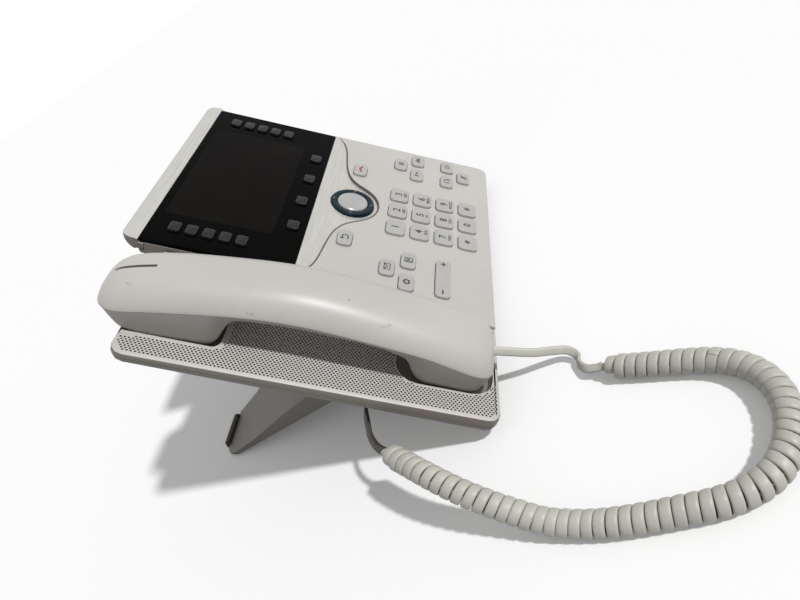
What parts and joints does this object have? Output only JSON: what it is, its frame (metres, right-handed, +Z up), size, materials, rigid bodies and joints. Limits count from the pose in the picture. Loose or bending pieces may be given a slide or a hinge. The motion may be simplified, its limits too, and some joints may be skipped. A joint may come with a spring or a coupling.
{
  "type": "desk ip phone",
  "caption": "Desk telephone with a tilted face, large display, keypad, navigation ring, lift-off handset on a curly cord and a clip-on stand.",
  "frame": {"origin": "on the desk, under the middle of the phone without its cord", "axes": "+X to the user's right, +Y away from the user, +Z up"},
  "size_m": [0.325, 0.347, 0.1659],
  "materials": {
    "warm_grey_plastic": "satin moulded",
    "key_plastic": "satin moulded",
    "smoke_key": "translucent smoke grey",
    "silver_trim": "satin painted metallic",
    "black_glass": "black, high gloss",
    "dark_teal": "satin",
    "steel": "satin plated",
    "taupe_plastic": "fine texture",
    "rubber": "matt",
    "board_green": "solder mask",
    "lcd": "display panel",
    "ivory_cord": "satin jacket",
    "lamp": "dark red lens, unlit"
  },
  "bodies": {
    "base": {"rear_housing": "taupe_plastic", "cradle_deck": "warm_grey_plastic", "front_cover": "warm_grey_plastic", "display_bezel": "silver_trim", "display_glass": "black_glass", "lcd_module": "lcd", "circuit_board": "board_green", "key_mat": "rubber", "loudspeaker": "rubber", "foot_stand": "taupe_plastic", "stand_pad_left": "rubber", "stand_pad_right": "rubber", "front_foot": "rubber", "cord_coil": "ivory_cord", "handset_lead": "ivory_cord", "base_lead": "rubber"},
    "handset": {"handset_outer_shell": "warm_grey_plastic", "handset_inner_shell": "warm_grey_plastic", "message_lamp": "lamp"},
    "hook_switch": {"hook_switch": "key_plastic"},
    "nav_ring": {"nav_ring": "dark_teal"},
    "select_button": {"select_button": "steel"},
    "volume_rocker": {"volume_rocker": "key_plastic"},
    "dial_key_1": {"dial_key_1": "key_plastic"},
    "dial_key_2": {"dial_key_2": "key_plastic"},
    "dial_key_3": {"dial_key_3": "key_plastic"},
    "dial_key_4": {"dial_key_4": "key_plastic"},
    "dial_key_5": {"dial_key_5": "key_plastic"},
    "dial_key_6": {"dial_key_6": "key_plastic"},
    "dial_key_7": {"dial_key_7": "key_plastic"},
    "dial_key_8": {"dial_key_8": "key_plastic"},
    "dial_key_9": {"dial_key_9": "key_plastic"},
    "dial_key_star": {"dial_key_star": "key_plastic"},
    "dial_key_0": {"dial_key_0": "key_plastic"},
    "dial_key_hash": {"dial_key_hash": "key_plastic"},
    "back_key": {"back_key": "key_plastic"},
    "release_key": {"release_key": "key_plastic"},
    "directory_key": {"directory_key": "key_plastic"},
    "settings_key": {"settings_key": "key_plastic"},
    "messages_key": {"messages_key": "key_plastic"},
    "conference_key": {"conference_key": "key_plastic"},
    "hold_key": {"hold_key": "key_plastic"},
    "transfer_key": {"transfer_key": "key_plastic"},
    "headset_key": {"headset_key": "key_plastic"},
    "speaker_key": {"speaker_key": "key_plastic"},
    "mute_key": {"mute_key": "key_plastic"},
    "line_key_left_1": {"line_key_left_1": "smoke_key"},
    "line_key_left_2": {"line_key_left_2": "smoke_key"},
    "line_key_left_3": {"line_key_left_3": "smoke_key"},
    "line_key_left_4": {"line_key_left_4": "smoke_key"},
    "line_key_left_5": {"line_key_left_5": "smoke_key"},
    "line_key_right_1": {"line_key_right_1": "smoke_key"},
    "line_key_right_2": {"line_key_right_2": "smoke_key"},
    "line_key_right_3": {"line_key_right_3": "smoke_key"},
    "line_key_right_4": {"line_key_right_4": "smoke_key"},
    "line_key_right_5": {"line_key_right_5": "smoke_key"},
    "soft_key_1": {"soft_key_1": "smoke_key"},
    "soft_key_2": {"soft_key_2": "smoke_key"},
    "soft_key_3": {"soft_key_3": "smoke_key"},
    "soft_key_4": {"soft_key_4": "smoke_key"}
  },
  "joints": [
    {"name": "handset_lift", "type": "slide", "parent": "base", "child": "handset", "axis": [0, -0.6691, 0.7431], "range_m": [0, 0.06]},
    {"name": "hook_release", "type": "slide", "parent": "base", "child": "hook_switch", "axis": [0, -0.6691, 0.7431], "range_m": [0, 0.004]},
    {"name": "nav_tilt", "type": "hinge", "parent": "base", "child": "nav_ring", "pos_m": [0.03915, -0.02862, 0.0773], "axis": [1, 0, 0], "range_deg": [-3, 3], "stiffness_Nm_per_rad": 0.05},
    {"name": "select_press", "type": "slide", "parent": "nav_ring", "child": "select_button", "axis": [0, 0.6691, -0.7431], "range_m": [0, 0.001], "stiffness_N_per_m": 300, "springref_m": -0.001},
    {"name": "volume_tilt", "type": "hinge", "parent": "base", "child": "volume_rocker", "pos_m": [-0.02525, -0.07934, 0.03365], "axis": [0, 0.7431, 0.6691], "range_deg": [-3, 3], "stiffness_Nm_per_rad": 0.05},
    {"name": "dial_1_press", "type": "slide", "parent": "base", "child": "dial_key_1", "axis": [0, 0.6691, -0.7431], "range_m": [0, 0.0012], "stiffness_N_per_m": 300, "springref_m": -0.001},
    {"name": "dial_2_press", "type": "slide", "parent": "base", "child": "dial_key_2", "axis": [0, 0.6691, -0.7431], "range_m": [0, 0.0012], "stiffness_N_per_m": 300, "springref_m": -0.001},
    {"name": "dial_3_press", "type": "slide", "parent": "base", "child": "dial_key_3", "axis": [0, 0.6691, -0.7431], "range_m": [0, 0.0012], "stiffness_N_per_m": 300, "springref_m": -0.001},
    {"name": "dial_4_press", "type": "slide", "parent": "base", "child": "dial_key_4", "axis": [0, 0.6691, -0.7431], "range_m": [0, 0.0012], "stiffness_N_per_m": 300, "springref_m": -0.001},
    {"name": "dial_5_press", "type": "slide", "parent": "base", "child": "dial_key_5", "axis": [0, 0.6691, -0.7431], "range_m": [0, 0.0012], "stiffness_N_per_m": 300, "springref_m": -0.001},
    {"name": "dial_6_press", "type": "slide", "parent": "base", "child": "dial_key_6", "axis": [0, 0.6691, -0.7431], "range_m": [0, 0.0012], "stiffness_N_per_m": 300, "springref_m": -0.001},
    {"name": "dial_7_press", "type": "slide", "parent": "base", "child": "dial_key_7", "axis": [0, 0.6691, -0.7431], "range_m": [0, 0.0012], "stiffness_N_per_m": 300, "springref_m": -0.001},
    {"name": "dial_8_press", "type": "slide", "parent": "base", "child": "dial_key_8", "axis": [0, 0.6691, -0.7431], "range_m": [0, 0.0012], "stiffness_N_per_m": 300, "springref_m": -0.001},
    {"name": "dial_9_press", "type": "slide", "parent": "base", "child": "dial_key_9", "axis": [0, 0.6691, -0.7431], "range_m": [0, 0.0012], "stiffness_N_per_m": 300, "springref_m": -0.001},
    {"name": "dial_star_press", "type": "slide", "parent": "base", "child": "dial_key_star", "axis": [0, 0.6691, -0.7431], "range_m": [0, 0.0012], "stiffness_N_per_m": 300, "springref_m": -0.001},
    {"name": "dial_0_press", "type": "slide", "parent": "base", "child": "dial_key_0", "axis": [0, 0.6691, -0.7431], "range_m": [0, 0.0012], "stiffness_N_per_m": 300, "springref_m": -0.001},
    {"name": "dial_hash_press", "type": "slide", "parent": "base", "child": "dial_key_hash", "axis": [0, 0.6691, -0.7431], "range_m": [0, 0.0012], "stiffness_N_per_m": 300, "springref_m": -0.001},
    {"name": "back_press", "type": "slide", "parent": "base", "child": "back_key", "axis": [0, 0.6691, -0.7431], "range_m": [0, 0.0012], "stiffness_N_per_m": 300, "springref_m": -0.001},
    {"name": "release_press", "type": "slide", "parent": "base", "child": "release_key", "axis": [0, 0.6691, -0.7431], "range_m": [0, 0.0012], "stiffness_N_per_m": 300, "springref_m": -0.001},
    {"name": "directory_press", "type": "slide", "parent": "base", "child": "directory_key", "axis": [0, 0.6691, -0.7431], "range_m": [0, 0.0012], "stiffness_N_per_m": 300, "springref_m": -0.001},
    {"name": "settings_press", "type": "slide", "parent": "base", "child": "settings_key", "axis": [0, 0.6691, -0.7431], "range_m": [0, 0.0012], "stiffness_N_per_m": 300, "springref_m": -0.001},
    {"name": "messages_press", "type": "slide", "parent": "base", "child": "messages_key", "axis": [0, 0.6691, -0.7431], "range_m": [0, 0.0012], "stiffness_N_per_m": 300, "springref_m": -0.001},
    {"name": "conference_press", "type": "slide", "parent": "base", "child": "conference_key", "axis": [0, 0.6691, -0.7431], "range_m": [0, 0.0012], "stiffness_N_per_m": 300, "springref_m": -0.001},
    {"name": "hold_press", "type": "slide", "parent": "base", "child": "hold_key", "axis": [0, 0.6691, -0.7431], "range_m": [0, 0.0012], "stiffness_N_per_m": 300, "springref_m": -0.001},
    {"name": "transfer_press", "type": "slide", "parent": "base", "child": "transfer_key", "axis": [0, 0.6691, -0.7431], "range_m": [0, 0.0012], "stiffness_N_per_m": 300, "springref_m": -0.001},
    {"name": "headset_press", "type": "slide", "parent": "base", "child": "headset_key", "axis": [0, 0.6691, -0.7431], "range_m": [0, 0.0012], "stiffness_N_per_m": 300, "springref_m": -0.001},
    {"name": "speaker_press", "type": "slide", "parent": "base", "child": "speaker_key", "axis": [0, 0.6691, -0.7431], "range_m": [0, 0.0012], "stiffness_N_per_m": 300, "springref_m": -0.001},
    {"name": "mute_press", "type": "slide", "parent": "base", "child": "mute_key", "axis": [0, 0.6691, -0.7431], "range_m": [0, 0.0012], "stiffness_N_per_m": 300, "springref_m": -0.001},
    {"name": "line_left_1_press", "type": "slide", "parent": "base", "child": "line_key_left_1", "axis": [0, 0.6691, -0.7431], "range_m": [0, 0.0012], "stiffness_N_per_m": 300, "springref_m": -0.001},
    {"name": "line_left_2_press", "type": "slide", "parent": "base", "child": "line_key_left_2", "axis": [0, 0.6691, -0.7431], "range_m": [0, 0.0012], "stiffness_N_per_m": 300, "springref_m": -0.001},
    {"name": "line_left_3_press", "type": "slide", "parent": "base", "child": "line_key_left_3", "axis": [0, 0.6691, -0.7431], "range_m": [0, 0.0012], "stiffness_N_per_m": 300, "springref_m": -0.001},
    {"name": "line_left_4_press", "type": "slide", "parent": "base", "child": "line_key_left_4", "axis": [0, 0.6691, -0.7431], "range_m": [0, 0.0012], "stiffness_N_per_m": 300, "springref_m": -0.001},
    {"name": "line_left_5_press", "type": "slide", "parent": "base", "child": "line_key_left_5", "axis": [0, 0.6691, -0.7431], "range_m": [0, 0.0012], "stiffness_N_per_m": 300, "springref_m": -0.001},
    {"name": "line_right_1_press", "type": "slide", "parent": "base", "child": "line_key_right_1", "axis": [0, 0.6691, -0.7431], "range_m": [0, 0.0012], "stiffness_N_per_m": 300, "springref_m": -0.001},
    {"name": "line_right_2_press", "type": "slide", "parent": "base", "child": "line_key_right_2", "axis": [0, 0.6691, -0.7431], "range_m": [0, 0.0012], "stiffness_N_per_m": 300, "springref_m": -0.001},
    {"name": "line_right_3_press", "type": "slide", "parent": "base", "child": "line_key_right_3", "axis": [0, 0.6691, -0.7431], "range_m": [0, 0.0012], "stiffness_N_per_m": 300, "springref_m": -0.001},
    {"name": "line_right_4_press", "type": "slide", "parent": "base", "child": "line_key_right_4", "axis": [0, 0.6691, -0.7431], "range_m": [0, 0.0012], "stiffness_N_per_m": 300, "springref_m": -0.001},
    {"name": "line_right_5_press", "type": "slide", "parent": "base", "child": "line_key_right_5", "axis": [0, 0.6691, -0.7431], "range_m": [0, 0.0012], "stiffness_N_per_m": 300, "springref_m": -0.001},
    {"name": "soft_1_press", "type": "slide", "parent": "base", "child": "soft_key_1", "axis": [0, 0.6691, -0.7431], "range_m": [0, 0.0012], "stiffness_N_per_m": 300, "springref_m": -0.001},
    {"name": "soft_2_press", "type": "slide", "parent": "base", "child": "soft_key_2", "axis": [0, 0.6691, -0.7431], "range_m": [0, 0.0012], "stiffness_N_per_m": 300, "springref_m": -0.001},
    {"name": "soft_3_press", "type": "slide", "parent": "base", "child": "soft_key_3", "axis": [0, 0.6691, -0.7431], "range_m": [0, 0.0012], "stiffness_N_per_m": 300, "springref_m": -0.001},
    {"name": "soft_4_press", "type": "slide", "parent": "base", "child": "soft_key_4", "axis": [0, 0.6691, -0.7431], "range_m": [0, 0.0012], "stiffness_N_per_m": 300, "springref_m": -0.001}
  ],
  "couplings": [
    {"joint": "hook_release", "follows": "handset_lift", "ratio": 0.066667}
  ]
}
